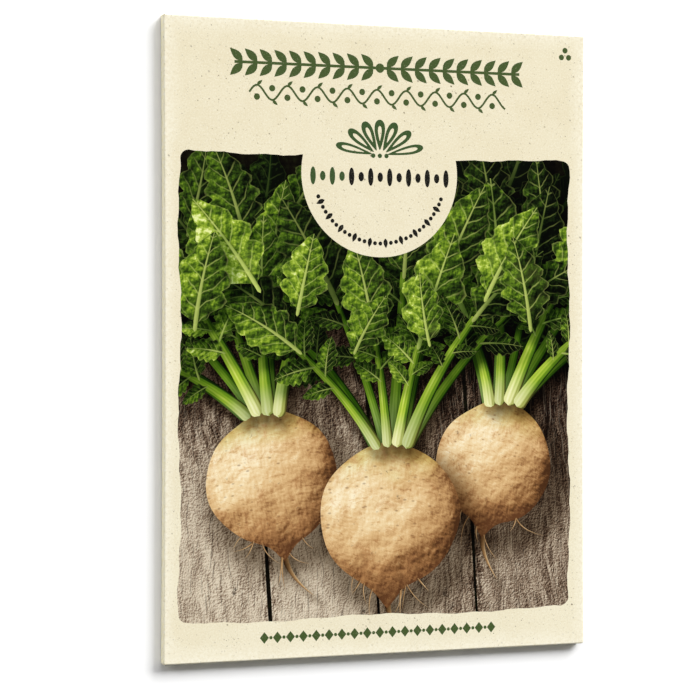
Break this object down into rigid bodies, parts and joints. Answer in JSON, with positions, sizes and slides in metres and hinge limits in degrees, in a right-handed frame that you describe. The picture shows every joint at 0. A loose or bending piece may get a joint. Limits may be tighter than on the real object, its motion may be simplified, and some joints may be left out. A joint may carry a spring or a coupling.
{
  "type": "seed packet",
  "caption": "Flat folded paper seed packet with glued side seam and end flaps, holding a small inner sachet of loose seeds.",
  "frame": {"origin": "in the plane of the end flaps that the packet rests on, under the middle of the front panel", "axes": "+Z out of the front panel, +Y towards the packet's top edge, +X across it to the right"},
  "size_m": [0.12, 0.165, 0.0033],
  "materials": {
    "envelope_paper": "uncoated cream paper with a fine fleck, printed in colour on the front",
    "adhesive": "thin dried dispersion adhesive",
    "sachet_paper": "thin smooth white paper",
    "seed": "dull brown seed coat"
  },
  "bodies": {
    "root": {"envelope": "envelope_paper", "bottom_flap_glue": "adhesive", "top_flap_glue": "adhesive", "side_seam_glue": "adhesive", "inner_sachet": "sachet_paper", "seeds": "seed"}
  },
  "joints": []
}
